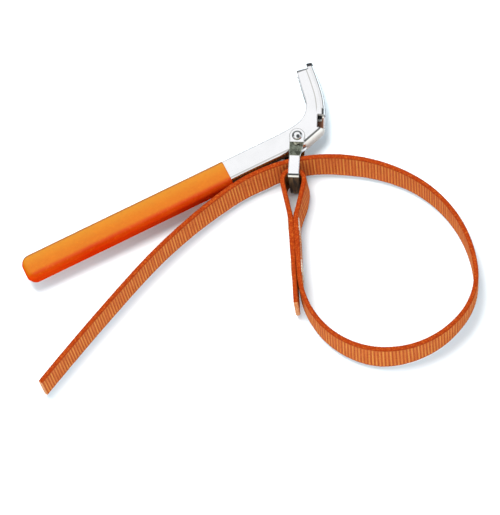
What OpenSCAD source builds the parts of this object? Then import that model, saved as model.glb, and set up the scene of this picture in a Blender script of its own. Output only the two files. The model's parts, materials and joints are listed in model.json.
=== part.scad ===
// Strap-type oil filter wrench, lying on its side.
// Origin: on the surface the tool lies on, at the middle of the shackle's lower leg.
// +X runs along the lever from the grip to the bent head, +Y to the open side
// of the lever's channel, +Z up, along the rivet.
// Every piece is drawn about the rivet, half way through the tool's thickness,
// and then moved by placed().

/* [Lever] */
// Thickness of the pressed sheet of the lever
lever_sheet = 2; // [1.6:0.1:2.2]
// Depth of the lever's channel, over both side walls
lever_depth = 11; // [10.6:0.1:11]
// Outside radius of the folded edges
fold_r = 3.8; // [3.4:0.1:3.9]
// Outer face of the web, below the rivet axis
web_y = 8.3; // [8:0.1:8.6]
// Free edge of the side walls, above the rivet axis
wall_y = 7.1; // [6.6:0.1:7.6]
// Distance from the rivet axis to the steel's end inside the sleeve
lever_back = 193; // [170:1:200]
// Angle by which the web rises towards the corner of the head
nose_angle = 16.2; // [14:0.2:18]
// Length of the flat between the two bends under the head
nose_len = 12.3; // [11:0.1:13]
// Turn of the corner at the head's foot
corner_angle = 43.4; // [40:0.2:46]
// Outside radius of that corner
corner_r = 5.5; // [5:0.1:7]
// Length of the relief slot at the upper folded edge of the head
slot_len = 9; // [6:0.5:10]

/* [Grip sleeve] */
// Wall thickness of the dipped sleeve
sleeve_t = 1.0; // [0.8:0.1:1.6]
// Distance from the rivet axis to the sleeve's mouth
sleeve_mouth = 51; // [45:1:60]
// Distance from the rivet axis to the sleeve's closed end
sleeve_end = 197; // [196:1:205]
// Radius of the sleeve's long edges
sleeve_edge_r = 4.4; // [3:0.1:5]

/* [Pivot] */
// Radius of the rivet's shank
rivet_r = 2.5; // [2:0.1:2.6]
// Radius of the rivet's domed heads
rivet_head_r = 3.4; // [3:0.1:4]
// Height of the rivet's domed heads
rivet_head_h = 2.2; // [1.5:0.1:2.6]
// Radial running clearance between the rivet and the lever
run_fit = 0.08; // [0.03:0.01:0.1]

/* [Shackle] */
// Thickness of the shackle's strip
shackle_t = 2; // [1.5:0.1:2.2]
// Radius of the round eyes at the rivet
eye_r = 5.1; // [4.6:0.1:5.6]
// Width of the strip where the joggle starts
leg_w1 = 9.4; // [8:0.1:10]
// Width of the strip along the legs and the crossbar
leg_w2 = 7; // [6:0.1:8]
// Distance from the rivet axis to the outer face of the crossbar
shackle_len = 32; // [31.5:0.1:32.5]
// Width of the shackle over its legs
shackle_w = 33; // [32.6:0.1:34]
// Angle between the shackle and the lever's +X
shackle_angle = -120; // [-121:0.5:-119]

/* [Strap] */
// Width of the webbing
strap_w = 25; // [22:0.5:26]
// Thickness of the webbing
strap_t = 3.2; // [2.8:0.1:3.3]
// Distance from the rivet axis to the start of the sewn seam
seam_at = 58; // [56:0.5:60]
// Length of the sewn seam, up to the first flexing joint
seam_len = 39; // [36:0.5:40]
// Length by which the folded-back end runs past the joint
tip_over = 17; // [10:0.5:20]
// Heading of the seam
seam_heading = -113.1; // [-113.5:0.1:-112.7]
// Outside radius of the sewn eye round the crossbar
eye_loop_r = 8.8; // [8.6:0.1:9]
// Clearance round each flexing joint of the strap
joint_gap = 0.12; // [0.1:0.02:0.2]

/* [Hidden] */
$fn = 96;
tiny = 0.01;                      // offset that keeps faces from coinciding
over = 1;                         // run of a cutting shape past the face it cuts
reach = 20;                       // half thickness of slabs wider than the piece

chrome = [0.86, 0.87, 0.88];
orange = [0.95, 0.48, 0.10];
webbing = [0.86, 0.36, 0.12];
steel = [0.7, 0.7, 0.72];
thread = [0.93, 0.85, 0.72];

half_depth = lever_depth / 2;
half_width = shackle_w / 2;       // outer face of a shackle leg
eye_in_z = half_depth + 0.1;      // inner face of a shackle eye
eye_out_z = eye_in_z + shackle_t;
foot_at = 23.3;                   // rivet to the middle of the shackle's lower leg

module placed() {
  translate([-foot_at * cos(shackle_angle), -foot_at * sin(shackle_angle), half_width])
    children();
}

// ---- plane paths: a pose is [x, y, heading] and arcs turn to the left ----
function direction(angle) = [cos(angle), sin(angle)];
function ahead(pose, length) =
  [pose.x + length * cos(pose[2]), pose.y + length * sin(pose[2]), pose[2]];
function turned(pose, radius, turn) =
  let (end = pose[2] + turn)
  [pose.x + radius * (sin(end) - sin(pose[2])), pose.y - radius * (cos(end) - cos(pose[2])), end];
function centre_of(pose, radius) =
  [pose.x - radius * sin(pose[2]), pose.y + radius * cos(pose[2])];
// points along an arc, offset to the left of the path
function arc_points(pose, radius, turn, left, steps) =
  let (centre = centre_of(pose, radius))
  [for (i = [0:steps]) centre + (radius - left) * direction(pose[2] + turn * i / steps - 90)];
function reversed(points) = [for (i = [len(points) - 1:-1:0]) points[i]];
function without_first(points) = [for (i = [1:len(points) - 1]) points[i]];
// the given points, then their mirror images in y, backwards
function mirrored(points) = concat(points, [for (point = reversed(points)) [point.x, -point.y]]);

module at_pose(pose) {
  translate([pose.x, pose.y, 0]) rotate([0, 0, pose[2]]) children();
}

// ---- solids centred on a plane ----
module rod(radius, half_height) {
  translate([0, 0, -half_height]) cylinder(r = radius, h = 2 * half_height);
}
module slab(half_height) {        // children in x and y
  translate([0, 0, -half_height]) linear_extrude(2 * half_height) children();
}
module side_slab() {              // children in x and z
  translate([0, reach, 0]) rotate([90, 0, 0]) linear_extrude(2 * reach) children();
}
module along_x(length) {          // children in y and z
  rotate([90, 0, 90]) linear_extrude(length) children();
}

// ---- lever: the outer face of the web is one path of lines and arcs ----
web_len = lever_back - 1.8;       // straight web, ending just short of the rivet
nose_r = 20;                      // bend up into the flat under the head
foot_len = 7;                     // flat after the corner
head_r = 60;
head_turn = 19.4;
tip_r = 230;
tip_turn = 5;                     // turn of the web at the tip of the head
tip_wall_turn = 4.2;              // turn of the side walls there
web_start = [-lever_back, -web_y, 0];
nose_start = ahead(web_start, web_len);
flat_start = turned(nose_start, nose_r, nose_angle);
corner_start = ahead(flat_start, nose_len);
foot_start = turned(corner_start, corner_r, corner_angle);
head_start = ahead(foot_start, foot_len);
tip_start = turned(head_start, head_r, head_turn);

// free edge of the side walls: slight rise, short flat, hollow, straight up the head
rise_r = 100;
rise_turn = 6;
hollow_r = 16.5;
hollow_turn = 73.5;
rise_start = ahead([-lever_back, wall_y, 0], lever_back - 12);
hollow_start = ahead(turned(rise_start, rise_r, rise_turn), 3.5);
edge_end = ahead(turned(hollow_start, hollow_r, hollow_turn), 21.1);

fold_stub = 0.6;                  // wall carried by the fold section, past the fold
wall_from = fold_r + fold_stub / 2; // depth from the web where the flat walls start

// slot, in the frame of foot_start
slot_tilt = 2;
slot_corner = [-0.6, -3, 1.9];
slot_past_fold = 0.9;
slot_h = 10;

// strip of the channel's section between the two folds
module web_band(from, width) {
  translate([from, -(half_depth - fold_r)]) square([width, 2 * (half_depth - fold_r)]);
}
module fold_circles(at, radius) {
  for (side = [-1, 1]) translate([at, side * (half_depth - fold_r)]) circle(r = radius);
}
module fold_profile() {           // section of web and folds, x into the channel
  section = fold_r + fold_stub;
  inner_half = half_depth - lever_sheet;
  difference() {
    intersection() {
      union() {
        web_band(0, section);
        fold_circles(fold_r, fold_r);
        for (y = [-half_depth, 0]) translate([fold_r, y]) square([fold_stub, half_depth]);
      }
      translate([-tiny, -half_depth]) square([section + tiny, lever_depth]);
    }
    web_band(lever_sheet, fold_r);
    fold_circles(fold_r, fold_r - lever_sheet);
    translate([fold_r, -inner_half]) square([over, 2 * inner_half]);
  }
}
module fold_line(pose, length) {
  at_pose(pose) along_x(length) fold_profile();
}
module fold_arc(pose, radius, turn) {
  centre = centre_of(pose, radius);
  at_pose([centre.x, centre.y, pose[2] - 90]) rotate_extrude(angle = turn)
    translate([radius, 0]) mirror([1, 0]) fold_profile();
}
module wall_plan() {
  polygon(concat(
    [[-lever_back, -web_y + wall_from]],
    arc_points(nose_start, nose_r, nose_angle, wall_from, steps = 4),
    arc_points(corner_start, corner_r, corner_angle, wall_from, steps = 6),
    arc_points(head_start, head_r, head_turn, wall_from, steps = 6),
    without_first(arc_points(tip_start, tip_r, tip_wall_turn, wall_from, steps = 3)),
    [[edge_end.x, edge_end.y]],
    reversed(arc_points(hollow_start, hollow_r, hollow_turn, 0, steps = 14)),
    reversed(arc_points(rise_start, rise_r, rise_turn, 0, steps = 4)),
    [[-lever_back, wall_y]]));
}
module lever() {
  color(chrome) placed() difference() {
    union() {
      for (z = [half_depth - lever_sheet, -half_depth]) translate([0, 0, z + tiny])
        linear_extrude(lever_sheet - 2 * tiny) wall_plan();
      fold_line(web_start, web_len);
      fold_arc(nose_start, nose_r, nose_angle);
      fold_line(flat_start, nose_len);
      fold_arc(corner_start, corner_r, corner_angle);
      fold_line(foot_start, foot_len);
      fold_arc(head_start, head_r, head_turn);
      fold_arc(tip_start, tip_r, tip_turn);
    }
    // rivet bore through both side walls
    rod(rivet_r + run_fit, half_depth + over);
    // relief slot cut through the upper folded edge, from the corner on
    at_pose(foot_start + [0, 0, slot_tilt]) translate(slot_corner)
      cube([slot_len, fold_r + slot_past_fold - slot_corner.y, slot_h]);
  }
}

// ---- grip sleeve ----
sleeve_low = -web_y - sleeve_t;
sleeve_high = wall_y + sleeve_t - 0.1;
sleeve_half = half_depth + sleeve_t + 0.1;
sleeve_plan_r = 6;                // closed end's corners, seen along Z
sleeve_side_r = 5;                // closed end's corners, seen along Y
mouth_over = 10;                  // run of those outlines past the mouth
pocket_fit = 0.03;
pocket_end_gap = 0.05;

module round_rect(x0, y0, x1, y1, radius) {
  translate([x0 + radius, y0]) square([x1 - x0 - 2 * radius, y1 - y0]);
  translate([x0, y0 + radius]) square([x1 - x0, y1 - y0 - 2 * radius]);
  for (x = [x0 + radius, x1 - radius], y = [y0 + radius, y1 - radius])
    translate([x, y]) circle(r = radius);
}
module grip_sleeve() {
  outline_end = -sleeve_mouth + mouth_over;
  color(orange) placed() difference() {
    intersection() {
      // section along X
      translate([-sleeve_end, 0, 0]) along_x(sleeve_end - sleeve_mouth)
        round_rect(sleeve_low, -sleeve_half, sleeve_high, sleeve_half, sleeve_edge_r);
      // plan, with the rounded closed end
      slab(reach)
        round_rect(-sleeve_end, sleeve_low, outline_end, sleeve_high, sleeve_plan_r);
      // side view, with the rounded closed end
      side_slab()
        round_rect(-sleeve_end, -sleeve_half, outline_end, sleeve_half, sleeve_side_r);
    }
    // pocket that holds the channel
    translate([-lever_back - pocket_end_gap, 0, 0]) along_x(lever_back) union() {
      web_band(-web_y - pocket_fit, fold_r + pocket_fit);
      fold_circles(-web_y + fold_r, fold_r + pocket_fit);
      translate([-web_y + fold_r, -half_depth - pocket_fit])
        square([wall_y + web_y - fold_r + pocket_fit, lever_depth + 2 * pocket_fit]);
    }
  }
}

// ---- pivot ----
spacer_r = 4.3;
spacer_end_gap = 0.03;            // between the spacer and each side wall

module dome(z) {                  // a flat-based spherical cap of the head's radius
  sphere_r = (rivet_head_r * rivet_head_r + rivet_head_h * rivet_head_h) / (2 * rivet_head_h);
  translate([0, 0, z]) rotate_extrude() intersection() {
    translate([0, rivet_head_h - sphere_r]) circle(r = sphere_r);
    square([rivet_head_r, rivet_head_h]);
  }
}
module pivot_rivet() {
  color(chrome) placed() union() {
    rod(rivet_r, eye_out_z);
    dome(eye_out_z);
    mirror([0, 0, 1]) dome(eye_out_z);
  }
}
module pivot_spacer() {
  spacer_half = half_depth - lever_sheet - spacer_end_gap;
  color(steel) placed() difference() {
    rod(spacer_r, spacer_half);
    rod(rivet_r + run_fit, spacer_half + over);
  }
}

// ---- shackle: one bent strip, drawn along +X and then turned ----
joggle_start = 4.5;               // where the joggle leaves the eye
joggle_end = 17.8;                // where it reaches the leg
bend_r = 3.5;                     // outside radius of the bends to the crossbar
bend_x = shackle_len - bend_r;
bend_z = half_width - bend_r;
joggle_angle = atan2(half_width - eye_out_z, joggle_end - joggle_start);
shackle_bore_fit = 0.01;

// upper half of the strip's side outline in x and z, set in from its outer face
function shackle_side(inset) =
  let (shift = inset * tan(joggle_angle / 2), eye_z = eye_out_z - inset, leg_z = half_width - inset)
  [[-eye_r - over - inset, eye_z], [joggle_start + shift, eye_z], [joggle_end + shift, leg_z],
    [bend_x, leg_z], [bend_x, bend_z], [shackle_len - inset, bend_z]];
// upper half of the strip's outline in x and y: tapering to the straight leg
shackle_plan = [[-1, eye_r - 0.15], [joggle_start, leg_w1 / 2], [joggle_end, leg_w2 / 2],
  [shackle_len + over, leg_w2 / 2]];

module shackle_block(inset) {     // everything inside the side outline
  side_slab() polygon(mirrored(shackle_side(inset)));
  for (side = [-1, 1]) translate([bend_x, reach, side * bend_z])
    rotate([90, 0, 0]) cylinder(r = bend_r - inset, h = 2 * reach);
}
module shackle() {
  color(chrome) placed() rotate([0, 0, shackle_angle]) difference() {
    intersection() {
      difference() {
        shackle_block(0);
        shackle_block(shackle_t);
      }
      union() {
        rod(eye_r, reach);
        slab(reach) polygon(mirrored(shackle_plan));
      }
    }
    for (side = [-1, 1]) translate([0, 0, side * (eye_in_z + shackle_t / 2)])
      rod(rivet_r + shackle_bore_fit, shackle_t / 2 + over);
  }
}

// ---- strap: one chain of arcs from the seam, round the loop, through the
// shackle and out along the tail: [radius, turn, number of segments] ----
runs = [
  [55, 82.5, 3],                  // loop, turning away from the seam
  [60.4, 54.7, 2],                // far side of the loop
  [43.6, 44.7, 1],                // tight turn of the loop
  [82, 52.7, 3],                  // side of the loop
  [105.4, 27.8, 2],               // loop, rising to the shackle
  [105.4, 27.8, 1],               // through the shackle
  [105.4, 13.9, 1],               // tail, next to the shackle
  [386, 12.4, 3],                 // tail, gently curved
  [1910, 2.7, 3]                  // free end of the tail
];
// a point given along the shackle's axis and to the left of it
function shackle_point(along, left) =
  along * direction(shackle_angle) + left * direction(shackle_angle + 90);
seam_origin = shackle_point(seam_at, 1.2);   // start of the seam, between its layers
loop_centre = shackle_point(seam_at - 25.5, -0.3);
// a point given along the seam and to the left of it
function seam_point(along, left) =
  seam_origin + along * direction(seam_heading) + left * direction(seam_heading + 90);
first_joint = concat(seam_point(seam_len, strap_t / 2), [seam_heading]);

// all segments, each [start pose, radius, turn]
function split(pose, radius, turn, count) =
  [for (i = [0:count - 1]) [turned(pose, radius, turn * i / count), radius, turn / count]];
function chain(pose, i) = i >= len(runs) ? [] :
  let (radius = runs[i][0], turn = runs[i][1])
  concat(split(pose, radius, turn, runs[i][2]), chain(turned(pose, radius, turn), i + 1));
segments = chain(first_joint, 0);

// seven points within an arc, leaving out its ends
function arc_inside(centre, radius, from, turn) =
  [for (i = [1:7]) centre + radius * direction(from + turn * i / 8)];
// outline of one length: right side, groove at its end, left side, rounded start
function segment_outline(start, radius, turn, last) =
  let (
    half = strap_t / 2,
    groove_r = half + joint_gap,
    end = turned(start, radius, turn),
    groove_angle = asin(half / groove_r),
    cut = last ? 0 : sqrt(groove_r * groove_r - half * half) / radius * 180 / PI)
  concat(
    arc_points(start, radius, turn - cut, -half, steps = 8),
    last ? [] : arc_inside([end.x, end.y], groove_r,
      end[2] + 180 + groove_angle, -2 * groove_angle),
    reversed(arc_points(start, radius, turn - cut, half, steps = 8)),
    arc_inside([start.x, start.y], half, start[2] + 90, 180));
module strap_segment(i) {
  segment = segments[i];
  color(webbing) placed() slab(strap_w / 2)
    polygon(segment_outline(segment[0], segment[1], segment[2], i == len(segments) - 1));
}

// point where a tangent from the given point touches a circle round loop_centre
function touch(point, radius, side) =
  let (offset = point - loop_centre)
  loop_centre + radius
    * direction(atan2(offset.y, offset.x) + side * acos(radius / norm(offset)));

slit = 0.1;                       // gap between the sewn layers
short_layer = seam_len - 0.45;    // end of the layer that meets the first joint
long_layer = seam_len + tip_over; // end of the folded-back layer
tip_slant = 0.6;                  // its extra length at the slit

module strap_eye() {
  inner_r = eye_loop_r - strap_t;
  right = seam_point(0, -strap_t);
  left = seam_point(0, strap_t);
  notch = seam_point(-1, 0);      // where the eye's opening narrows to a point
  color(webbing) placed() difference() {
    slab(strap_w / 2) difference() {
      union() {
        translate(loop_centre) circle(r = eye_loop_r);
        polygon([touch(right, eye_loop_r, -1), right, left, touch(left, eye_loop_r, 1),
          loop_centre]);
        // the sewn layers
        polygon([right, seam_point(long_layer, -strap_t), seam_point(long_layer + tip_slant, 0),
          seam_point(short_layer, 0), seam_point(short_layer, strap_t), left]);
      }
      translate(loop_centre) circle(r = inner_r);
      polygon([touch(notch, inner_r, -1), notch, touch(notch, inner_r, 1), loop_centre]);
      // the slit between the sewn layers
      polygon([seam_point(-2, -slit / 2), seam_point(long_layer + 2, -slit / 2),
        seam_point(long_layer + 2, slit / 2), seam_point(-2, slit / 2)]);
    }
    translate([first_joint.x, first_joint.y, 0])
      rod(strap_t / 2 + joint_gap, strap_w / 2 + over);
  }
}

// ---- stitches: thread through both layers with a bar on each outer face ----
thread_r = 0.4;
bar_len = 2.6;
bar_t = 0.5;
stitch_rows = [-9.5, -3.2, 3.2, 9.5]; // z of each row
stitch_count = 9;
stitch_first = 3;
stitch_pitch = 3.8;

module stitch() {
  translate([0, strap_t + bar_t / 2, 0]) rotate([90, 0, 0])
    cylinder(r = thread_r, h = 2 * strap_t + bar_t, $fn = 24);
  for (y = [-strap_t - bar_t, strap_t]) translate([-thread_r, y, -thread_r])
    cube([bar_len, bar_t, 2 * thread_r]);
}
module seam_stitching() {
  color(thread) placed()
    for (z = stitch_rows, i = [0:stitch_count - 1]) translate([0, 0, z])
      at_pose(concat(seam_point(stitch_first + i * stitch_pitch, 0), [seam_heading])) stitch();
}

module strap_loop_01() { strap_segment(0); }
module strap_loop_02() { strap_segment(1); }
module strap_loop_03() { strap_segment(2); }
module strap_loop_04() { strap_segment(3); }
module strap_loop_05() { strap_segment(4); }
module strap_loop_06() { strap_segment(5); }
module strap_loop_07() { strap_segment(6); }
module strap_loop_08() { strap_segment(7); }
module strap_loop_09() { strap_segment(8); }
module strap_loop_10() { strap_segment(9); }
module strap_loop_11() { strap_segment(10); }
module strap_throat() { strap_segment(11); }
module strap_tail_01() { strap_segment(12); }
module strap_tail_02() { strap_segment(13); }
module strap_tail_03() { strap_segment(14); }
module strap_tail_04() { strap_segment(15); }
module strap_tail_05() { strap_segment(16); }
module strap_tail_06() { strap_segment(17); }
module strap_tail_07() { strap_segment(18); }

lever();
grip_sleeve();
pivot_rivet();
pivot_spacer();
shackle();
strap_eye();
seam_stitching();
strap_loop_01();
strap_loop_02();
strap_loop_03();
strap_loop_04();
strap_loop_05();
strap_loop_06();
strap_loop_07();
strap_loop_08();
strap_loop_09();
strap_loop_10();
strap_loop_11();
strap_throat();
strap_tail_01();
strap_tail_02();
strap_tail_03();
strap_tail_04();
strap_tail_05();
strap_tail_06();
strap_tail_07();
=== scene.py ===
"""Oil filter wrench: chromed lever and shackle, dipped grip, woven strap.

Metres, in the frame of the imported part. Pieces are worked out in millimetres about the rivet:
the rivet's axis and the webbing's width lie along Z, the grip runs toward -X, the lever's head
toward +Y, and the shackle and strap leave toward -Y.
"""

import json
import math

import bmesh
import bpy
import numpy as np
from mathutils import Matrix, Vector

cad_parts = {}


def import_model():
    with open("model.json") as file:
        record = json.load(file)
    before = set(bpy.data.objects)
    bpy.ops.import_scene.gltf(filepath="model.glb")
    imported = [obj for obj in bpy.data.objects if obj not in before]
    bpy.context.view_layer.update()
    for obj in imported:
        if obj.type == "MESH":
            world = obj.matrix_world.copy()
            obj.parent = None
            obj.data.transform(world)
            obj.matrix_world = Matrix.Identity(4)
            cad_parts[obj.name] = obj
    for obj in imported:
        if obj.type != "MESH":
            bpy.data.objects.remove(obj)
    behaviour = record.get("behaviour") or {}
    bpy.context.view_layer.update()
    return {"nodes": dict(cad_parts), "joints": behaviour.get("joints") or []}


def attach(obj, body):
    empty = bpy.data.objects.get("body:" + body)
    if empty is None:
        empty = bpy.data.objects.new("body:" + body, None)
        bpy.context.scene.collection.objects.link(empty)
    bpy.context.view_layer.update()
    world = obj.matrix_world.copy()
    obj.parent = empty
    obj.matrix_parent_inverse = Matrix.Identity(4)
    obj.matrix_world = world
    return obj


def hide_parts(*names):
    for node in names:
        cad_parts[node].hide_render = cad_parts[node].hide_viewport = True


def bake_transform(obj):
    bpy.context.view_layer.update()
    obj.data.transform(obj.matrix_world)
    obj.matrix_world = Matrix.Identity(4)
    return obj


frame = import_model()


RIVET = np.array(next(j for j in frame["joints"] if j["name"] == "handle_swing")["pos_m"], float)


def world(points):
    """A point or points in millimetres about the rivet, in the frame's metres."""
    return np.asarray(points, float) / 1000.0 + RIVET


def heading(degrees):
    """The unit vector in plan at an angle from +X."""
    return np.array([math.cos(math.radians(degrees)), math.sin(math.radians(degrees))])


# ------------------------------------------------------------------ material nodes
class Nodes:
    """A short way to write a material's node tree. Masks run from 0 to 1."""

    def __init__(self, name):
        self.material = bpy.data.materials.new(name)
        self.material.use_nodes = True
        self.tree = self.material.node_tree
        self.tree.nodes.clear()
        output = self.node("OutputMaterial")
        self.bsdf = self.node("BsdfPrincipled")
        self.put(output.inputs[0], self.bsdf.outputs[0])
        self.coord = self.node("TexCoord")

    def put(self, socket, value):
        if hasattr(value, "links"):
            self.tree.links.new(value, socket)
        else:
            socket.default_value = value

    def node(self, kind, inputs=None):
        made = self.tree.nodes.new("ShaderNode" + kind)
        for name, value in (inputs or {}).items():
            self.put(made.inputs[name], value)
        return made

    def set(self, name, value):
        self.put(self.bsdf.inputs[name], value)

    def attribute(self, name):
        made = self.node("Attribute")
        made.attribute_name = name
        return made.outputs["Fac"]

    def noise(self, scale, detail=2.0, rough=0.5, vector=None, stretch=None, distort=0.0):
        vector = vector or self.coord.outputs["Object"]
        if stretch:
            vector = self.node("Mapping", {"Scale": stretch, "Vector": vector}).outputs[0]
        return self.node("TexNoise", {
            "Scale": scale, "Detail": detail, "Roughness": rough, "Distortion": distort,
            "Vector": vector,
        }).outputs["Fac"]

    def clouds(self, scale, **options):
        return self.noise(scale, detail=3.0, rough=0.6, **options)

    def cells(self, scale):
        place = self.coord.outputs["Object"]
        return self.node("TexVoronoi", {"Scale": scale, "Vector": place}).outputs["Distance"]

    def math(self, operation, a, b=None, clamp=False):
        made = self.node("Math")
        made.operation = operation
        made.use_clamp = clamp
        self.put(made.inputs[0], a)
        if b is not None:
            self.put(made.inputs[1], b)
        return made.outputs[0]

    def mul(self, product, *factors):
        for factor in factors:
            product = self.math("MULTIPLY", product, factor)
        return product

    def add(self, a, b):
        return self.math("ADD", a, b)

    def sub(self, a, b):
        return self.math("SUBTRACT", a, b)

    def most(self, a, b):
        return self.math("MAXIMUM", a, b)

    def hypot(self, x, y):
        return self.math("SQRT", self.add(self.math("POWER", x, 2.0), self.math("POWER", y, 2.0)))

    def ramp(self, value, lo, hi, start=0.0, end=1.0):
        """Smooth step from start, where value is lo, to end, where it is hi."""
        made = self.node("MapRange", {
            "Value": value, "From Min": lo, "From Max": hi, "To Min": start, "To Max": end,
        })
        made.interpolation_type = "SMOOTHSTEP"
        return made.outputs[0]

    def fall(self, value, lo, hi):
        return self.ramp(value, lo, hi, start=1.0, end=0.0)

    def band(self, value, lo, lo_full, hi_full, hi):
        """1 between lo_full and hi_full, 0 outside lo and hi."""
        return self.mul(self.ramp(value, lo, lo_full), self.fall(value, hi_full, hi))

    def mix(self, mask, a, b):
        made = self.node("Mix")
        made.data_type = "RGBA"
        self.put(made.inputs[0], mask)
        for i, colour in ((6, a), (7, b)):
            self.put(made.inputs[i], colour if hasattr(colour, "links") else (*colour, 1.0))
        return made.outputs[2]

    def cover(self, under, mask, amount, over):
        """A colour laid over another, by amount where the mask is 1."""
        return self.mix(self.mul(mask, amount), under, over)

    def bump(self, height, strength, distance):
        made = self.node("Bump", {"Strength": strength, "Distance": distance, "Height": height})
        self.set("Normal", made.outputs[0])

    def edge(self, radius):
        """1 on a sharp edge, 0 further than radius from it."""
        bevel = self.node("Bevel", {"Radius": radius})
        bevel.samples = 6
        dot = self.node("VectorMath")
        dot.operation = "DOT_PRODUCT"
        self.put(dot.inputs[0], bevel.outputs[0])
        self.put(dot.inputs[1], self.node("NewGeometry").outputs["Normal"])
        return self.fall(dot.outputs["Value"], 0.90, 0.995)

    def part(self, vector, axis):
        return self.node("SeparateXYZ", {"Vector": vector}).outputs[axis]

    def normal_z(self):
        return self.part(self.node("NewGeometry").outputs["Normal"], 2)

    def offset(self, axis):
        """Distance from the rivet in mm along one axis."""
        place = self.mul(self.part(self.coord.outputs["Object"], axis), 1000.0)
        return self.sub(place, float(RIVET[axis] * 1000))

    def along(self, direction, start=(0, 0)):
        """Distance in mm along a direction in plan, from a point about the rivet."""
        dot = self.node("VectorMath")
        dot.operation = "DOT_PRODUCT"
        self.put(dot.inputs[0], self.coord.outputs["Object"])
        self.put(dot.inputs[1], (float(direction[0]) * 1000, float(direction[1]) * 1000, 0))
        origin = float(np.dot(RIVET[:2] * 1000 + np.array(start, float), direction))
        return self.sub(dot.outputs["Value"], origin)

    def arc(self, centre, radius):
        """A thin circular line in plan, in mm about the rivet."""
        away = self.hypot(self.along((1, 0), centre), self.along((0, 1), centre))
        return self.fall(self.math("ABSOLUTE", self.sub(away, radius)), 0.15, 0.5)


DYE_TONE = 0.63     # keeps dyed colours well under the bright stage


def srgb(*channels):
    """A dyed surface's colour from 0-255 values, toned down."""
    def linear(v):
        v /= 255.0
        return v / 12.92 if v <= 0.04045 else ((v + 0.055) / 1.055) ** 2.4

    return tuple(DYE_TONE * linear(v) for v in channels)


# ------------------------------------------------------------------ plated metal
def chrome(name, base, rough, hairlines, paint):
    """Bright plating: clouded gloss, hairlines, a few pits, a painted dark reflection along the
    broken edges.

    paint adds a piece's painted reflections and shade, and returns the colour and a mask of where
    they are laid on matte."""
    m = Nodes(name)
    cloud = m.clouds(60)
    fine = m.noise(900, stretch=hairlines)
    colour = m.mix(m.ramp(cloud, 0.3, 0.7), base, tuple(c * 0.95 for c in base))
    pits = m.mul(m.fall(m.cells(240), 0.0, 0.055), m.ramp(m.noise(35, rough=0.55), 0.55, 0.7))
    colour = m.cover(colour, pits, amount=0.35, over=(0.55, 0.52, 0.47))
    # painted reflection: a dark line along each broken edge
    colour = m.cover(colour, m.edge(radius=0.0012), amount=0.80, over=(0.13, 0.13, 0.15))
    colour, painted_matte = paint(m, colour)
    m.set("Base Color", colour)
    # the painted reflections and shade are laid on matte, not on mirror
    m.set("Metallic", m.math("SUBTRACT", 1.0, painted_matte, clamp=True))
    m.set("Specular IOR Level", m.math("SUBTRACT", 0.10, m.mul(painted_matte, 0.10), clamp=True))
    gloss = m.ramp(cloud, 0.25, 0.75, start=rough * 0.8, end=rough * 1.5)
    gloss = m.add(gloss, m.mul(fine, rough * 0.45))
    m.set("Roughness", m.add(gloss, m.mul(painted_matte, 0.6)))
    wave = m.add(m.mul(m.noise(28, rough=0.55), 0.8), m.mul(fine, 0.04))
    m.bump(wave, strength=0.12, distance=0.0008)
    return m.material


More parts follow.
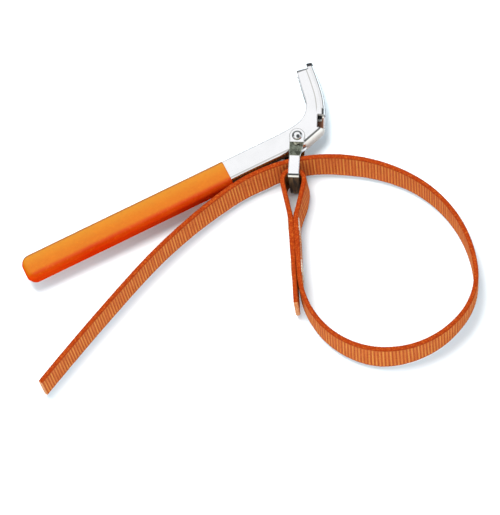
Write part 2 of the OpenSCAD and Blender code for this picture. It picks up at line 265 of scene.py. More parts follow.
def paint_lever(m, colour):
    """Painted reflections and shade on the lever: lines along its fold and head, a dark underside
    and a dark sheared tip.
    """
    level = m.math("ABSOLUTE", m.normal_z())     # 1 on faces square to Z
    x, y = m.along((1, 0)), m.along((0, 1))
    shank = m.fall(x, -6, 0)

    # painted reflections: a grey line where the fold starts to turn, black on its steep outer
    # skin
    start = m.mul(m.band(level, 0.90, 0.965, 0.985, 0.998), m.ramp(y, -3, 2, start=1.0, end=0.2))
    colour = m.cover(colour, start, amount=0.6, over=(0.30, 0.30, 0.27))
    skin = m.band(level, 0.02, 0.10, 0.32, 0.56)
    colour = m.cover(colour, skin, amount=0.85, over=(0.03, 0.03, 0.03))
    # painted shade on the shank's steep faces toward -Y, brown with the strap's reflection
    low = m.mul(m.fall(level, 0.80, 0.93), m.fall(y, -8.0, -6.0), shank)
    colour = m.cover(colour, low, amount=0.9, over=(0.05, 0.03, 0.02))

    # under the head, painted reflections: a dark line along the fold, then a pale band
    under = m.mul(m.band(x, 1.5, 3.5, 18.0, 20.0), m.fall(y, 1.0, 3.0))
    pale = m.mul(under, m.fall(level, 0.86, 0.92))
    colour = m.mix(pale, colour, (0.60, 0.59, 0.56))
    line = m.mul(under, m.band(level, 0.86, 0.92, 0.985, 0.998))
    colour = m.cover(colour, line, amount=0.9, over=(0.03, 0.028, 0.025))
    painted_matte = m.most(m.mul(pale, 0.92), m.most(m.mul(line, 0.9), m.mul(skin, 0.6)))

    # a painted dark reflection line along the head, two arcs that meet at y = 23 mm
    near = m.mul(m.arc((-29.4, 34.8), radius=54.3), m.band(y, 9, 13, 22.9, 23.1))
    far = m.mul(m.arc((-196.3, 67.3), radius=224.3), m.ramp(y, 22.9, 23.1))
    painted_head_line = m.mul(m.add(near, far), m.ramp(level, 0.97, 0.995))
    colour = m.cover(colour, painted_head_line, amount=0.62, over=(0.30, 0.30, 0.26))

    # painted shade in the slot at the head's foot, near mid-height: a brown reflection turning
    # black, with a painted pale highlight stripe
    height = m.math("ABSOLUTE", m.offset(2))
    corner = (18.05, 2.87)
    length, depth = m.along(heading(62), corner), m.along(heading(-28), corner)
    painted_slot_shade = m.mul(m.fall(depth, 1.9, 2.3), m.ramp(depth, -9.0, -8.0))
    painted_slot_shade = m.mul(m.fall(height, 5.1, 5.35), painted_slot_shade)
    painted_slot_shade = m.mul(painted_slot_shade, m.band(length, -5.0, -4.4, 9.0, 10.0))
    painted_slot_glint = m.band(length, 3.4, 3.9, 4.7, 5.2)
    inside = m.mix(m.ramp(length, 3.8, 4.8), (0.10, 0.035, 0.014), (0.022, 0.020, 0.018))
    inside = m.cover(inside, painted_slot_glint, amount=0.85, over=(0.62, 0.60, 0.54))
    colour = m.cover(colour, painted_slot_shade, amount=0.97, over=inside)
    painted_matte = m.most(painted_matte, m.mul(painted_slot_shade, 0.97))

    # painted dark reflection on the head's end and on the sheared tip of the web
    head = m.along(heading(84))
    end = m.mul(m.ramp(head, 42.3, 42.6), m.fall(x, 27.0, 28.4))
    colour = m.cover(colour, end, amount=0.75, over=(0.08, 0.08, 0.08))
    tip = m.ramp(head, 43.9, 44.3)
    return m.cover(colour, tip, amount=0.95, over=(0.02, 0.02, 0.022)), painted_matte


def paint_shackle(m, colour):
    """Painted reflections and shade on the shackle: grey streaks on the joggles, lines round the
    bends, a brown crossbar.
    """
    level = m.math("ABSOLUTE", m.normal_z())
    length = m.along(heading(-120))
    streak = m.ramp(m.clouds(700, stretch=(0.55, 0.3, 0.2), distort=0.6), 0.3, 0.7)
    # painted reflection: grey streaks on the joggles' tilted faces
    painted_joggle_grey = m.mul(m.band(level, 0.5, 0.62, 0.93, 0.985), m.fall(length, 19, 22))
    colour = m.mix(painted_joggle_grey, colour, m.mix(streak, (0.15, 0.15, 0.105), (0.56, 0.56, 0.42)))

    # painted reflections round the bend: the face turns from a dark line to a pale lip to the
    # bar, painted brown as a reflection of the shaded webbing
    bend = m.ramp(length, 23, 24.5)
    line = m.mul(m.band(level, 0.60, 0.66, 0.86, 0.91), bend)
    colour = m.cover(colour, line, amount=0.96, over=(0.015, 0.013, 0.012))
    bar = m.mul(m.fall(level, 0.22, 0.30), bend)
    lip = m.mul(m.band(level, 0.22, 0.30, 0.60, 0.66), bend)
    colour = m.cover(colour, lip, amount=0.95, over=(0.66, 0.63, 0.55))
    grain = m.ramp(m.clouds(520, stretch=(1, 1, 0.12), distort=0.4), 0.35, 0.68)
    painted_matte = m.most(m.mul(m.most(line, lip), 0.96), m.mul(bar, 0.8))
    shaded_webbing_reflection = m.mix(grain, (0.022, 0.012, 0.006), (0.20, 0.105, 0.04))
    return m.cover(colour, bar, amount=0.97, over=shaded_webbing_reflection), painted_matte


def paint_rivet(m, colour):
    """A dark crescent and a dark spot, as a small dome shows its surroundings."""
    x, y = m.along(heading(-26)), m.along(heading(64))
    ring = m.ramp(m.hypot(x, y), 1.75, 2.05)
    crescent = m.mul(ring, m.ramp(m.sub(y, m.mul(x, 0.25)), -1.1, -0.3))
    colour = m.cover(colour, crescent, amount=0.93, over=(0.012, 0.012, 0.012))
    # the spot's centre lies at (0.65, -1.25) mm on these axes
    spot = m.fall(m.hypot(m.sub(x, 0.65), m.add(y, 1.25)), 1.0, 1.45)
    painted_matte = m.mul(m.most(crescent, spot), 0.95)
    return m.cover(colour, spot, amount=0.97, over=(0.02, 0.02, 0.02)), painted_matte


def plain_steel():
    m = Nodes("plain_steel_tube")
    turning = m.noise(700, stretch=(1, 1, 0.06))
    cloud = m.ramp(m.clouds(90), 0.3, 0.7)
    m.set("Base Color", m.mix(cloud, (0.42, 0.42, 0.43), (0.30, 0.29, 0.28)))
    m.set("Metallic", 1.0)
    m.set("Roughness", m.ramp(turning, 0.3, 0.7, start=0.28, end=0.45))
    m.bump(turning, strength=0.2, distance=0.0002)
    return m.material


# ------------------------------------------------------------------ grip and textile materials
def grip_pvc():
    """Orange vinyl with painted shade: redder on its -Y flank and underside, a brown rim on the
    +Y side.
    """
    m = Nodes("dipped_vinyl")
    up = m.normal_z()
    own_y = m.part(m.coord.outputs["Normal"], 1)
    across = m.offset(1)
    cloud = m.clouds(45)
    grain = m.noise(1500)
    top, pale = (0.375, 0.094, 0.004), (0.385, 0.140, 0.009)
    side, lit_shoulder = (0.56, 0.022, 0.001), (0.345, 0.024, 0.001)
    shaded_underside, shaded_brim = (0.40, 0.024, 0.002), (0.27, 0.095, 0.018)

    colour = m.mix(m.ramp(across, -3.5, 6.5), top, pale)
    # painted shade: the steep faces and the -Y side redder, darker where they turn up to the
    # light
    steepness = m.ramp(m.math("ABSOLUTE", up), 0.25, 0.9)
    off_flank = m.math("MINIMUM", m.ramp(across, -7.0, -3.8), steepness)
    colour = m.mix(off_flank, m.mix(m.ramp(up, 0.2, 0.85), side, lit_shoulder), colour)
    # painted shade: the underside redder
    colour = m.mix(m.ramp(up, -0.9, -0.3, start=0.6, end=0.0), colour, shaded_underside)
    # painted shade: the +Y rim brown
    colour = m.mix(m.mul(m.ramp(own_y, 0.28, 0.55), m.ramp(across, 3.5, 5.5)), colour, shaded_brim)

    # clouding, grain, then light and dark flecks
    colour = m.cover(colour, m.ramp(cloud, 0.3, 0.75), amount=0.14, over=srgb(236, 128, 30))
    colour = m.cover(colour, m.ramp(grain, 0.5, 0.8), amount=0.16, over=srgb(214, 110, 20))
    fleck = m.noise(620, rough=0.6)
    colour = m.cover(colour, m.ramp(fleck, 0.52, 0.75), amount=0.16, over=srgb(244, 140, 34))
    colour = m.cover(colour, m.fall(fleck, 0.28, 0.45), amount=0.16, over=srgb(186, 84, 12))
    m.set("Base Color", colour)
    gloss = m.ramp(cloud, 0.2, 0.8, start=0.34, end=0.48)
    m.set("Roughness", m.add(gloss, m.ramp(up, 0.6, 0.97, start=0.45, end=0.0)))
    m.set("Specular IOR Level", m.ramp(up, 0.75, 0.99, start=0.0, end=0.20))
    m.set("Subsurface Weight", 0.06)
    m.set("Subsurface Radius", (0.0015, 0.0005, 0.0002))
    height = m.add(m.mul(m.noise(420, rough=0.55), 0.5), m.mul(grain, 0.35))
    m.bump(height, strength=0.10, distance=0.0004)
    return m.material


def webbing():
    """Ribbed webbing: rib, edge and the two running lengths in mm are stored on the mesh."""
    m = Nodes("ribbed_webbing")
    rib, edge = m.attribute("rib"), m.attribute("edge")
    across = m.attribute("across")
    lay = m.node("CombineXYZ", {"X": m.attribute("along"), "Y": across}).outputs[0]
    yarn_pitch = 0.85
    yarn = m.ramp(m.math("SINE", m.mul(across, 2 * math.pi / yarn_pitch)), -1, 1)
    cloud = m.clouds(0.12, vector=lay)
    mottle = m.clouds(1.4, vector=lay)
    fuzz = m.noise(5200)
    pick = m.noise(0.45, detail=1.0, vector=lay, stretch=(1.0, 0.04, 1.0))

    # the ribbed face: painted shade in the valleys, and a painted highlight on the lit crests
    face = m.mix(m.ramp(rib, 0.02, 0.5), srgb(178, 62, 14), srgb(218, 96, 26))
    lit = m.mul(m.ramp(rib, 0.45, 1.0), m.ramp(pick, 0.35, 0.62, start=0.25, end=1.0))
    face = m.mix(lit, face, srgb(252, 164, 74))
    face = m.cover(face, m.ramp(mottle, 0.5, 0.85), amount=0.45, over=srgb(188, 66, 24))
    face = m.cover(face, m.ramp(cloud, 0.35, 0.7), amount=0.25, over=srgb(236, 118, 52))
    rim = m.mix(m.ramp(mottle, 0.3, 0.8), srgb(172, 58, 14), srgb(142, 40, 8))
    rim = m.cover(rim, m.ramp(fuzz, 0.45, 0.75), amount=0.45, over=srgb(206, 92, 30))
    colour = m.mix(edge, face, rim)

    # shade inside the eye, yarns on the face, light and dark flecks
    colour = m.cover(colour, m.attribute("shade"), amount=0.85, over=srgb(96, 46, 16))
    face_yarn = m.mul(yarn, m.sub(1.0, edge))
    colour = m.cover(colour, face_yarn, amount=0.16, over=srgb(255, 176, 120))
    fleck = m.noise(1050, rough=0.6)
    colour = m.cover(colour, m.ramp(fleck, 0.50, 0.72), amount=0.42, over=srgb(240, 132, 50))
    colour = m.cover(colour, m.fall(fleck, 0.30, 0.46), amount=0.45, over=srgb(132, 40, 10))
    m.set("Base Color", colour)
    m.set("Roughness", m.ramp(mottle, 0.2, 0.8, start=0.72, end=0.9))
    m.set("Specular IOR Level", 0.05)
    height = m.add(m.mul(yarn, 0.35), m.add(m.mul(mottle, 0.5), m.mul(fuzz, 0.35)))
    m.bump(height, strength=0.35, distance=0.00025)
    return m.material


def cut_end():
    m = Nodes("cut_webbing_end")
    yarn = m.ramp(m.cells(1500), 0.1, 0.55)
    cloud = m.clouds(420)
    colour = m.mix(yarn, srgb(255, 206, 140), srgb(232, 136, 62))
    colour = m.cover(colour, m.ramp(cloud, 0.45, 0.75), amount=0.4, over=srgb(214, 96, 34))
    m.set("Base Color", colour)
    m.set("Roughness", m.ramp(cloud, 0.3, 0.7, start=0.55, end=0.85))
    m.bump(m.add(yarn, cloud), strength=0.5, distance=0.0003)
    return m.material


def thread():
    m = Nodes("sewing_thread")
    twist = m.noise(2600, stretch=(1, 3, 1))
    cloud = m.noise(300)
    colour = m.mix(m.ramp(cloud, 0.3, 0.7), srgb(250, 238, 220), srgb(240, 214, 184))
    colour = m.cover(colour, m.ramp(twist, 0.5, 0.75), amount=0.4, over=srgb(214, 170, 128))
    m.set("Base Color", colour)
    m.set("Roughness", m.ramp(cloud, 0.2, 0.8, start=0.6, end=0.8))
    m.set("Sheen Weight", 0.3)
    m.bump(twist, strength=0.5, distance=0.0002)
    return m.material


BRIGHT = (0.84, 0.845, 0.855)
MATERIALS = {
    "lever": chrome("bright_chrome", base=(0.81, 0.815, 0.825), rough=0.07,
                    hairlines=(1, 12, 12), paint=paint_lever),
    "strip": chrome("chromed_strip", base=BRIGHT, rough=0.09,
                    hairlines=(12, 1, 12), paint=paint_shackle),
    "rivet": chrome("chromed_rivet", base=BRIGHT, rough=0.06,
                    hairlines=(4, 4, 4), paint=paint_rivet),
    "grip": grip_pvc(),
    "webbing": webbing(),
    "end": cut_end(),
    "thread": thread(),
    "steel": plain_steel(),
}


# ------------------------------------------------------------------ mesh helpers
def add_object(name, data):
    made = bpy.data.objects.new(name, data)
    bpy.context.scene.collection.objects.link(made)
    return made


def new_object(name, verts, faces, materials, face_materials=None, smooth=True, attributes=None):
    mesh = bpy.data.meshes.new(name)
    mesh.from_pydata([tuple(v) for v in verts], [], faces)
    for material in materials:
        mesh.materials.append(material)
    if face_materials is not None:
        mesh.polygons.foreach_set("material_index", np.asarray(face_materials, np.int32))
    mesh.polygons.foreach_set("use_smooth", np.full(len(mesh.polygons), smooth))
    for key, values in (attributes or {}).items():
        stored = mesh.attributes.new(key, "FLOAT", "POINT")
        stored.data.foreach_set("value", np.asarray(values, np.float32))
    mesh.update()
    return add_object(name, mesh)


def mark_sharp(bm, degrees):
    """Marks edges sharper than this, so that smooth shading stops there."""
    limit = math.radians(degrees)
    for edge in bm.edges:
        edge.smooth = not (len(edge.link_faces) == 2 and edge.calc_face_angle(0) > limit)


def tidy_skin(made, degrees):
    """Turns all faces outward and marks the sharp edges."""
    bm = bmesh.new()
    bm.from_mesh(made.data)
    bmesh.ops.recalc_face_normals(bm, faces=bm.faces)
    bm.normal_update()
    mark_sharp(bm, degrees)
    bm.to_mesh(made.data)
    bm.free()


def machined(node, name, material, body, width, segments):
    """The CAD node's own shape with its edges broken, as a new piece that stands for it."""
    bm = bmesh.new()
    bm.from_mesh(frame["nodes"][node].data)
    bmesh.ops.remove_doubles(bm, verts=bm.verts, dist=2e-6)
    bmesh.ops.dissolve_degenerate(bm, edges=bm.edges, dist=1e-6)
    bmesh.ops.dissolve_limit(bm, angle_limit=math.radians(0.6), verts=bm.verts, edges=bm.edges)
    bmesh.ops.recalc_face_normals(bm, faces=bm.faces)
    rim = bm.faces.layers.float.new("rim")
    limit = math.radians(32)
    hard = [e for e in bm.edges if len(e.link_faces) == 2 and e.calc_face_angle(0) > limit]
    bevel = bmesh.ops.bevel(
        bm, geom=hard, offset=width, offset_type="OFFSET", segments=segments, profile=0.5,
        affect="EDGES", clamp_overlap=True, miter_outer="ARC",
    )
    for face in bevel["faces"]:
        face[rim] = 1.0
    for face in bm.faces:
        face.smooth = True
    mark_sharp(bm, 34)
    mesh = bpy.data.meshes.new(name)
    bm.to_mesh(mesh)
    bm.free()
    mesh.materials.append(material)
    made = add_object(name, mesh)
    weighted = made.modifiers.new("weighted", "WEIGHTED_NORMAL")
    weighted.keep_sharp = True
    weighted.weight = 60
    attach(made, body)
    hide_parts(node)


# ------------------------------------------------------------------ the strap's path
# (radius, whole turn in degrees, hinges) for each run of the loop and tail
RUNS = [
    (55, 82.5, 3), (60.4, 54.7, 2), (43.6, 44.7, 1), (82, 52.7, 3), (105.4, 27.8, 2),
    (105.4, 27.8, 1), (105.4, 13.9, 1), (386, 12.4, 3), (1910, 2.7, 3),
]
SEAM_HEADING = -113.1
SEAM, TIP = 39.0, 19.5       # length of the seam, and of the folded-back tip past it
SEWN = TIP + SEAM            # strap length up to the eye
SEAM_DIR, SEAM_LEFT = heading(SEAM_HEADING), heading(SEAM_HEADING + 90)
SHACKLE_DIR, SHACKLE_LEFT = heading(-120), heading(-30)
SEAM_START = 58 * SHACKLE_DIR + 1.2 * SHACKLE_LEFT
EYE_CENTRE = 32.5 * SHACKLE_DIR - 0.3 * SHACKLE_LEFT
PLY = 1.6                    # from the seam's middle to the middle of each ply
EYE_R = 8.8 - PLY
RAW_STEP, STEP = 0.25, 0.2   # spacing of points before and after evening out
EASE, EASE_REACH = 1.9, 40   # width of the smoothing in mm, and its reach in steps


def turned(state, radius, angle):
    """The (x, y, heading) reached by turning left along an arc."""
    start, end = math.radians(state[2]), math.radians(state[2] + angle)
    return (
        state[0] + radius * (math.sin(end) - math.sin(start)),
        state[1] - radius * (math.cos(end) - math.cos(start)),
        state[2] + angle,
    )


def bell(offsets, width):
    weights = np.exp(-0.5 * (offsets / width) ** 2)
    return weights / weights.sum()


def lengths(points):
    return np.r_[0, np.cumsum(np.linalg.norm(np.diff(points, axis=0), axis=1))]


def strap_path():
    """The strap as one line: folded-back tip, seam, eye, seam, loop, tail."""
    points = []

    def line(a, b):
        count = int(np.linalg.norm(b - a) / RAW_STEP)
        points.extend(a + (b - a) * t for t in np.linspace(0, 1, count, endpoint=False))

    def touch(point, sign):
        """Angle on the eye where a line from the point is tangent."""
        away = point - EYE_CENTRE
        half = math.degrees(math.acos(EYE_R / np.linalg.norm(away)))
        return math.degrees(math.atan2(away[1], away[0])) + sign * half

    first, second = SEAM_START - PLY * SEAM_LEFT, SEAM_START + PLY * SEAM_LEFT
    angle_in, angle_out = touch(first, -1), touch(second, 1)
    line(first + SEWN * SEAM_DIR, first)
    line(first, EYE_CENTRE + EYE_R * heading(angle_in))
    while angle_out > angle_in:
        angle_out -= 360
    for angle in np.arange(angle_in, angle_out, -RAW_STEP / EYE_R * 180 / math.pi):
        points.append(EYE_CENTRE + EYE_R * heading(angle))
    line(EYE_CENTRE + EYE_R * heading(angle_out), second)
    line(second, second + SEAM * SEAM_DIR)

    hinges = []
    state = (*(second + SEAM * SEAM_DIR), SEAM_HEADING)
    for radius, whole, count in RUNS:
        turn = whole / count
        steps = int(radius * math.radians(turn) / RAW_STEP)
        for _ in range(count):
            hinges.append(state)
            points.extend(
                np.array(turned(state, radius, turn * k / steps)[:2]) for k in range(steps))
            state = turned(state, radius, turn)
    points.append(np.array(state[:2]))
    points = np.array(points)

    # even spacing, then the kinks where lines meet arcs are eased as stiff webbing would
    raw = lengths(points)
    even = np.arange(0, raw[-1], STEP)
    points = np.c_[np.interp(even, raw, points[:, 0]), np.interp(even, raw, points[:, 1])]
    weights = bell(np.arange(-EASE_REACH, EASE_REACH + 1) * STEP, EASE)
    before, after = points[0] - points[1], points[-1] - points[-2]
    padded = np.vstack([
        [points[0] + before * (EASE_REACH - i) for i in range(EASE_REACH)],
        points,
        [points[-1] + after * (i + 1) for i in range(EASE_REACH)],
    ])
    eased = np.c_[[np.convolve(padded[:, axis], weights, "valid") for axis in (0, 1)]].T
    return eased, lengths(eased), hinges


PATH, PATH_AT, HINGES = strap_path()
TANGENTS = np.gradient(PATH, PATH_AT, axis=0)
TANGENTS /= np.linalg.norm(TANGENTS, axis=1, keepdims=True)
END = PATH_AT[-1]


def hinge_lengths():
    """Strap length at each hinge, each at least 5 mm past the one before."""
    found, low = [], 100.0
    for hinge in HINGES:
        gap = np.linalg.norm(PATH - np.asarray(hinge)[:2], axis=1)
        gap[PATH_AT < low] = 1e9
        low = float(PATH_AT[int(gap.argmin())])
        found.append(low)
        low += 5
    return found


HINGE_AT = hinge_lengths()


def path_at(s):
    """Points on the path and the normals to its left."""
    centre = np.c_[np.interp(s, PATH_AT, PATH[:, 0]), np.interp(s, PATH_AT, PATH[:, 1])]
    ahead = np.c_[np.interp(s, PATH_AT, TANGENTS[:, 0]), np.interp(s, PATH_AT, TANGENTS[:, 1])]
    ahead /= np.linalg.norm(ahead, axis=1, keepdims=True)
    return centre, np.c_[-ahead[:, 1], ahead[:, 0]]


WANDER = {}


def slow(s, seed, period):
    """Smooth seeded wander between -1 and 1."""
    if seed not in WANDER:
        WANDER[seed] = np.random.RandomState(seed).uniform(-1, 1, 4000)
    values = WANDER[seed]
    x = np.asarray(s, float) / period
    i = np.floor(x).astype(int)
    t = x - i
    t = t * t * (3 - 2 * t)
    return values[i % 4000] * (1 - t) + values[(i + 1) % 4000] * t


# (strap length, how far the webbing's lower edge swings out to the left of its path), in mm
LEAN = np.array([
    (0, 0), (SEWN - 4, 0), (SEWN + 12, -0.6), (SEWN + 30, -0.3), (SEWN + 46, 0.6),
    (SEWN + 58, 2.3), (SEWN + 74, 0.4),
    (HINGE_AT[0], 0), (HINGE_AT[1], -0.3), (HINGE_AT[2], -1.3), (HINGE_AT[3], -2.6),
    (HINGE_AT[4], -0.8), (HINGE_AT[5], 0.7), (HINGE_AT[6], 0), (HINGE_AT[9], 0.1),
    (HINGE_AT[10], 1.3), (HINGE_AT[11] - 4, 2.2), (HINGE_AT[11] + 14, 1.4),
    (HINGE_AT[12] - 14, 1.4), (HINGE_AT[12], 2.9), (HINGE_AT[13], 1.9), (HINGE_AT[14], 0.6),
    (HINGE_AT[15], 0), (END, 0),
], float)


def lean(s):
    offsets = np.linspace(-8, 8, 17)
    weights = bell(offsets, 4.0)
    return sum(w * np.interp(s + o, LEAN[:, 0], LEAN[:, 1]) for w, o in zip(weights, offsets))


# ------------------------------------------------------------------ webbing
RIB_PITCH = 2.15
HALF_W, HALF_T = 12.45, 1.32

# half the section, counter-clockwise: (side, z, kind); side is -1 on the face right of the path
HALF_SECTION = [
    (-1, z, "face") for z in (-11.55, -10.9, -8.5, -5.6, -2.8, 0, 2.8, 5.6, 8.5, 10.9, 11.55)
] + [
    (-1, 11.95, "turn"), (-0.80, 12.3, "turn"), (-0.5, 12.42, "rim"), (-0.18, 12.42, "rim"),
    (0.18, 12.42, "rim"), (0.5, 12.42, "rim"), (0.80, 12.3, "turn"), (1, 11.95, "turn"),
]
SECTION = HALF_SECTION + [(-side, -z, kind) for side, z, kind in HALF_SECTION]
FACE_EDGE = 11               # face rows further out than this in z belong partly to the edge
# extra half thickness, its growth on a rib, and the rib's strength, round the edges
EDGE_ROWS = {"turn": (0.10, 0.08, 0.4), "rim": (0.14, 0.04, 0.3)}


def ribs(s):
    """0 in the valley between two ribs, 1 on a rib's crest."""
    phase = s / RIB_PITCH + 0.10 * slow(s, 5, 9.0)
    return (0.5 - 0.5 * np.cos(2 * np.pi * phase)) ** 0.8


def between(s, lo, hi, ease):
    return np.clip((s - lo) / ease, 0, 1) * np.clip((hi - s) / ease, 0, 1)


def ribbon(name, s0, s1, cut_start=False, cut_finish=False):
    """Webbing from s0 to s1 along the strap, its ribs modelled, closed at both ends."""
    count = int(round((s1 - s0) / (RIB_PITCH / 8)))
    s = np.linspace(s0, s1, count + 1)
    centre, normal = path_at(s)
    rib_at = ribs(s)
    rib_height = 0.27 * (1 + 0.12 * slow(s, 9, 4.3))
    tilt = lean(s)
    drift = {
        q: 0.07 * slow(s, 21 if q > 0 else 22, 2.6) + 0.05 * slow(s, 31 + q, 0.9)
        for q in (-1, 1)
    }
    second_ply = HINGE_AT[0] - SEAM
    eye_inside = between(s, SEWN, second_ply, 8)
    sewn = between(s, TIP + 10, HINGE_AT[0] - 4, 6) * (1 - between(s, SEWN, second_ply, 5))
    verts, faces, face_materials = [], [], []
    stored = {key: [] for key in ("rib", "edge", "across", "shade")}

    def add_vert(place, **values):
        verts.append(place)
        for key, value in values.items():
            stored[key].append(value)

    def swing(i, z):
        return tilt[i] * (HALF_W - z) / (2 * HALF_W)

    for i, r in enumerate(rib_at):
        for side, z, kind in SECTION:
            inner_row = kind == "face" and abs(z) < FACE_EDGE
            z_side = 1 if z > 0 else -1
            wave = drift[z_side][i]
            if kind == "face":
                fade = 1.0 if inner_row else 0.75
                rib = fade * r
                offset = side * (HALF_T + rib_height[i] * rib * fade)
                edge = 0.0 if inner_row else 0.45
                wave *= 0.3
            else:
                extra, growth, strength = EDGE_ROWS[kind]
                offset = side * (HALF_T + extra + growth * r)
                rib, edge = strength * r, 1.0
            offset *= 1 + 0.13 * sewn[i]
            height = z + z_side * wave
            add_vert(
                (*(centre[i] + normal[i] * (offset + swing(i, height))), height),
                rib=rib, edge=edge, across=z + side if kind == "rim" else z,
                shade=float(eye_inside[i]) if side < 0 and inner_row else 0.0,
            )
    m = len(SECTION)
    for i in range(count):
        for k in range(m):
            a, b = i * m + k, i * m + (k + 1) % m
            faces.append((a, a + m, b + m, b))
            face_materials.append(0)

    def cap(i, first, cut):
        """An end face: a ring set in, pushed out a little where the webbing is cut."""
        ring, base = i * m, len(verts)
        outward = np.array([normal[i][1], -normal[i][0]]) * (-1 if first else 1)
        push = 0.22 if cut else 0.0
        for k, (side, z, _) in enumerate(SECTION):
            rim = np.array(verts[ring + k])
            middle = np.array([*(centre[i] + normal[i] * swing(i, rim[2])), rim[2] * 0.985])
            point = rim + (middle - rim) * 0.35
            point[:2] += outward * push * (1 + 0.5 * math.sin(7.0 * z + side))
            add_vert(tuple(point), rib=0.6, edge=0.3, across=z, shade=0.0)
        for k in range(m):
            a, b = ring + k, ring + (k + 1) % m
            c, d = base + (k + 1) % m, base + k
            faces.append((a, d, c, b) if first else (a, b, c, d))
        inner = tuple(base + k for k in range(m))
        faces.append(inner[::-1] if first else inner)
        face_materials.extend([1 if cut else 0] * (m + 1))

    cap(0, True, cut_start)
    cap(count, False, cut_finish)
    stored["along"] = np.r_[np.repeat(s, m), np.full(m, s[0]), np.full(m, s[-1])]
    attributes = {key: stored[key] for key in ("rib", "edge", "along", "across", "shade")}
    made = new_object(name, world(np.array(verts)), faces,
                      [MATERIALS["webbing"], MATERIALS["end"]], face_materials,
                      attributes=attributes)
    tidy_skin(made, 62)
    return made


# (body name, which names the webbing piece, its first hinge, the nodes it stands for)
CARRIERS = [("strap_eye", None, ["strap_eye"]), ("loop_01", 0, ["strap_loop_01"])]
CARRIERS += [
    ("loop_%02d_%02d" % (i, i + 1), i - 1, ["strap_loop_%02d" % i, "strap_loop_%02d" % (i + 1)])
    for i in (2, 4, 6, 8)
]
CARRIERS.append(("loop_10_throat", 9, ["strap_loop_10", "strap_loop_11", "strap_throat"]))
CARRIERS += [("tail_%02d" % i, 11 + i, ["strap_tail_%02d" % i]) for i in range(1, 8)]


def snap(s):
    """To the nearest valley between ribs, so that pieces meet where the webbing is plain."""
    return round(s / RIB_PITCH) * RIB_PITCH


def strap():
    firsts = [hinge for _, hinge, _ in CARRIERS[1:]]
    cuts = [snap(HINGE_AT[0] - 11.0)]
    cuts += [snap((HINGE_AT[a] + HINGE_AT[b]) / 2) for a, b in zip(firsts, firsts[1:])]
    cuts.append(END)

    eye = ribbon("webbing_sewn_eye", 0.0, cuts[0], cut_start=True)
    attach(eye, "strap_eye")
    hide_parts("strap_eye")

    for k, (name, hinge, nodes) in enumerate(CARRIERS[1:]):
        start, finish = cuts[k], cuts[k + 1]
        piece = ribbon("webbing_%s" % name, start, finish, cut_finish=(finish == END))
        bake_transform(piece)
        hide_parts(*nodes)


strap()


# ------------------------------------------------------------------ stitching
THREAD_R, THREAD_SIDES = 0.42, 8
THREAD_SINK = 0.55                        # how deep a stitch's ends lie in the webbing
ROWS_Z = (-8.2, -2.8, 2.8, 8.2)           # the straight rows
ROW_START, ROW_PITCH, STITCH = 10.2, 3.75, 2.9
BARS = ((0.8, 9.2), (29.4, 37.8))         # zigzag bars, start and end along the seam
BARS_Z = ((-11.8, -9.8), (-5.5, -2.9), (2.9, 5.5), (9.8, 11.8))
BAR_STITCHES = 9


def tube(path, radius, sides):
    """Verts and faces of a capped tube along a list of points."""
    path = np.array(path, float)
    ahead = np.gradient(path, axis=0)
    ahead /= np.linalg.norm(ahead, axis=1, keepdims=True)
    steep = abs(ahead[:, 2]).max() >= 0.9
    reference = np.array([1.0, 0, 0]) if steep else np.array([0, 0, 1.0])
    verts, faces = [], []
    for i, point in enumerate(path):
        a = np.cross(ahead[i], reference)
        a /= np.linalg.norm(a)
        b = np.cross(ahead[i], a)
        r = radius * (1 + 0.10 * math.sin(i * 2.1))
        for k in range(sides):
            angle = 2 * math.pi * k / sides
            verts.append(point + r * (a * math.cos(angle) + b * math.sin(angle)))
    for i in range(len(path) - 1):
        for k in range(sides):
            a, b = i * sides + k, i * sides + (k + 1) % sides
            faces.append((a, b, b + sides, a + sides))
    faces.append(tuple(reversed(range(sides))))
    last = (len(path) - 1) * sides
    faces.append(tuple(last + k for k in range(sides)))
    return verts, faces


def stitches():
    verts, faces = [], []

    def stitch(start, end, z0, z1, side, lift):
        """One stitch on a face of the seam, dipping into the webbing at both ends."""
        path = []
        for t in np.linspace(0, 1, 9):
            rise = (lift + 0.25) * math.sin(math.pi * t) ** 0.55
            out = 2 * PLY - THREAD_SINK + rise
            place = SEAM_START + (start + (end - start) * t) * SEAM_DIR + side * out * SEAM_LEFT
            path.append((*place, z0 + (z1 - z0) * t))
        new_verts, new_faces = tube(path, THREAD_R, THREAD_SIDES)
        base = len(verts)
        verts.extend(new_verts)
        faces.extend(tuple(base + i for i in face) for face in new_faces)

    for side in (-1, 1):
        for row, z in enumerate(ROWS_Z):
            for i in range(5):
                start = ROW_START + i * ROW_PITCH + 0.12 * math.sin(3.1 * i + 1.7 * row + side)
                stitch(start, start + STITCH, z + 0.1 * math.sin(2.3 * i + row),
                       z + 0.1 * math.cos(1.9 * i), side, lift=0.2)
        for bar_start, bar_end in BARS:
            stops = np.linspace(bar_start, bar_end, BAR_STITCHES + 1)
            for span in BARS_Z:
                for k in range(BAR_STITCHES):
                    z0, z1 = span if k % 2 == 0 else span[::-1]
                    stitch(stops[k], stops[k + 1], z0, z1, side, lift=0.5)
    made = new_object("sewing_thread", world(np.array(verts)), faces, [MATERIALS["thread"]])
    tidy_skin(made, 60)
    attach(made, "strap_eye")
    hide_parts("seam_stitching")


stitches()


# ------------------------------------------------------------------ grip sleeve
GRIP_Y = (-9.3, 8.0)
GRIP_HALF_Z = 6.6
GRIP_CORNER, OPEN_CORNER = 4.3, 3.4       # corner radius, and its limit on the open +Y side
GRIP_END, GRIP_MOUTH = -197.0, -51.0      # x of the closed end and of the mouth
DOME_R, LIP_R = 6.2, 0.9
POCKET_X = (GRIP_MOUTH - 0.05, GRIP_MOUTH - 1.0, -120.0, -190.0, -193.02)


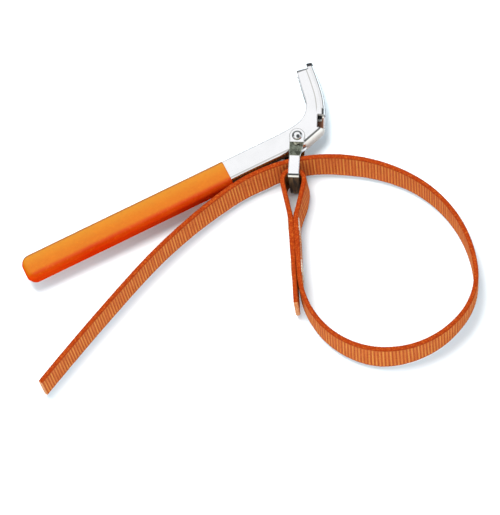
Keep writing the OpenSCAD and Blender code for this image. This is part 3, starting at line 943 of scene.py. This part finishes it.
def grip_ring(x, grow, corner=GRIP_CORNER):
    """A rounded rectangle across the grip, its outline moved out by grow."""
    middle = (GRIP_Y[0] + GRIP_Y[1]) / 2
    half_y = (GRIP_Y[1] - GRIP_Y[0]) / 2 + grow
    half_z = GRIP_HALF_Z + grow
    corner = min(corner, half_z - 0.01)
    corners = []
    for quarter, (side_y, side_z) in enumerate(((1, 1), (-1, 1), (-1, -1), (1, -1))):
        radius = min(corner, OPEN_CORNER) if side_y > 0 else corner
        for k in range(9):
            angle = math.radians(90 * quarter + 90 * k / 8)
            corners.append(np.array((
                x,
                middle + side_y * (half_y - radius) + radius * math.cos(angle),
                side_z * (half_z - radius) + radius * math.sin(angle),
            )))
    # a few points along the flat sides keep the skin even
    points = []
    for i, point in enumerate(corners):
        points.append(point)
        if i % 9 == 8:
            following = corners[(i + 1) % len(corners)]
            points.extend(point + (following - point) * t for t in (0.25, 0.5, 0.75))
    return points


def sleeve():
    """Dipped sleeve, one closed skin: domed end, soft lip at the mouth, pocket inside."""
    rings = []
    for k in range(10, 0, -1):
        angle = math.radians(90 * k / 11)
        inset = 1 - math.cos(angle)
        rings.append(grip_ring(GRIP_END + DOME_R * (1 - math.sin(angle)),
                               -DOME_R * inset * 0.86, GRIP_CORNER + 1.2 * inset))
    for x in np.linspace(GRIP_END + 6.4, GRIP_MOUTH - 1.4, 46):
        rings.append(grip_ring(x, 0.035 * float(slow(x + 300, 44, 17.0))))
    for k in range(6):
        angle = math.radians(90 * k / 5)
        rings.append(grip_ring(GRIP_MOUTH - LIP_R + LIP_R * math.sin(angle),
                               -0.62 * (1 - math.cos(angle)), 4.0))
    rings += [grip_ring(x, -0.93, 3.6) for x in POCKET_X]

    m = len(rings[0])
    faces = []
    for i in range(len(rings) - 1):
        for k in range(m):
            a, b = i * m + k, i * m + (k + 1) % m
            faces.append((a, b, b + m, a + m))
    outer_tip = np.mean(rings[0], axis=0) - np.array([0.12, 0, 0])
    pocket_end = np.mean(rings[-1], axis=0)
    verts = np.vstack([*rings, outer_tip, pocket_end])
    tip, last = len(rings) * m, (len(rings) - 1) * m
    for k in range(m):
        faces.append((tip, (k + 1) % m, k))
        faces.append((tip + 1, last + k, last + (k + 1) % m))
    made = new_object("grip_sleeve_skin", world(verts), faces, [MATERIALS["grip"]])
    tidy_skin(made, 50)
    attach(made, "lever")
    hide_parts("grip_sleeve")


sleeve()

# ------------------------------------------------------------------ metal
# node, name, material, body, width of the broken edge, its segments, slot
for node, name, key, body, width, segments, slot in (
    ("lever", "lever_channel", "lever", "lever", 0.00032, 3, "chrome_plate"),
    ("shackle", "shackle_strip", "strip", "shackle", 0.00035, 3, "shackle_chrome"),
    ("pivot_rivet", "domed_rivet", "rivet", "shackle", 0.0001, 1, "rivet_steel"),
    ("pivot_spacer", "spacer_tube", "steel", "lever", 0.0002, 2, "spacer_steel"),
):
    machined(node, name, MATERIALS[key], body, width, segments)


# ------------------------------------------------------------------ stage, light, camera
# (height of the direction, colour) of the sky that glossy surfaces mirror
SKY = [
    (0.0, (0.10, 0.095, 0.085, 1)), (0.12, (0.12, 0.115, 0.10, 1)),
    (0.24, (0.35, 0.35, 0.34, 1)), (0.38, (1.12, 1.12, 1.13, 1)), (1.0, (1.18, 1.18, 1.19, 1)),
]


def floor():
    m = Nodes("pale_floor")
    cloud = m.noise(3.0, rough=0.55)
    m.set("Base Color", m.mix(cloud, (0.74, 0.79, 0.815), (0.755, 0.80, 0.825)))
    m.set("Roughness", 0.75)
    m.set("Specular IOR Level", 0.2)
    radius, count, z = 2.2, 64, -0.00015
    angles = [2 * math.pi * k / count for k in range(count)]
    verts = [(0, 0, z)] + [(radius * math.cos(a), radius * math.sin(a), z) for a in angles]
    faces = [(0, k + 1, (k + 1) % count + 1) for k in range(count)]
    new_object("floor", verts, faces, [m.material], smooth=False)


def sky():
    """White to the camera, the banded sky to glossy rays, pale blue to the rest."""
    studio = bpy.data.worlds.new("studio")
    bpy.context.scene.world = studio
    studio.use_nodes = True
    tree = studio.node_tree
    tree.nodes.clear()
    link = tree.links.new
    output = tree.nodes.new("ShaderNodeOutputWorld")
    background = tree.nodes.new("ShaderNodeBackground")
    link(background.outputs[0], output.inputs[0])
    coord = tree.nodes.new("ShaderNodeTexCoord")
    parts = tree.nodes.new("ShaderNodeSeparateXYZ")
    link(coord.outputs["Generated"], parts.inputs[0])
    bands = tree.nodes.new("ShaderNodeValToRGB")
    link(parts.outputs[2], bands.inputs[0])
    elements = bands.color_ramp.elements
    for i, (height, colour) in enumerate(SKY[:2]):
        elements[i].position = height
        elements[i].color = colour
    for height, colour in SKY[2:]:
        elements.new(height).color = colour
    rays = tree.nodes.new("ShaderNodeLightPath")

    def switch(ray):
        made = tree.nodes.new("ShaderNodeMix")
        made.data_type = "RGBA"
        link(rays.outputs[ray], made.inputs[0])
        return made

    glossy = switch("Is Glossy Ray")
    glossy.inputs[6].default_value = (0.80, 0.93, 1.0, 1)
    link(bands.outputs[0], glossy.inputs[7])
    seen = switch("Is Camera Ray")
    link(glossy.outputs[2], seen.inputs[6])
    seen.inputs[7].default_value = (1.0, 1.0, 1.0, 1)
    link(seen.outputs[2], background.inputs["Color"])
    background.inputs["Strength"].default_value = 1.0


def area(name, place, target, size, power, colour):
    light = bpy.data.lights.new(name, "AREA")
    light.shape = "DISK"
    light.size = size
    light.energy = power
    light.color = colour
    made = add_object(name, light)
    made.location = place
    aim = Vector(target) - Vector(place)
    made.rotation_euler = aim.to_track_quat("-Z", "Y").to_euler()
    made.visible_glossy = False


def camera():
    data = bpy.data.cameras.new("camera")
    made = add_object("camera", data)
    right = Vector((0.89538604, -0.43848509, -0.07755428)).normalized()
    down = Vector((-0.4362809, -0.82900305, -0.34987558)).normalized()
    forward = Vector((0.08912248, 0.34710916, -0.93358043)).normalized()
    pose = Matrix((right, -down, -forward)).transposed().to_4x4()
    pose.translation = Vector(world((-214.882, -648.079, 1584.827)))
    made.matrix_world = pose
    data.sensor_width = 36.0
    data.lens = 185.124583
    data.clip_start = 0.05
    data.clip_end = 20
    bpy.context.scene.camera = made


floor()
sky()
AIM = world((-70, -60, 0))
area("key", (AIM[0] - 0.08, AIM[1] + 0.30, 1.48), AIM, size=0.62, power=27.5,
     colour=(1.0, 0.985, 0.965))
area("fill", (AIM[0] - 0.55, AIM[1] - 1.05, 0.85), AIM, size=0.90, power=8.0,
     colour=(1.0, 0.99, 0.97))
camera()
view = bpy.context.scene.view_settings
view.view_transform = "Standard"
view.look = "None"
view.exposure = 0.0
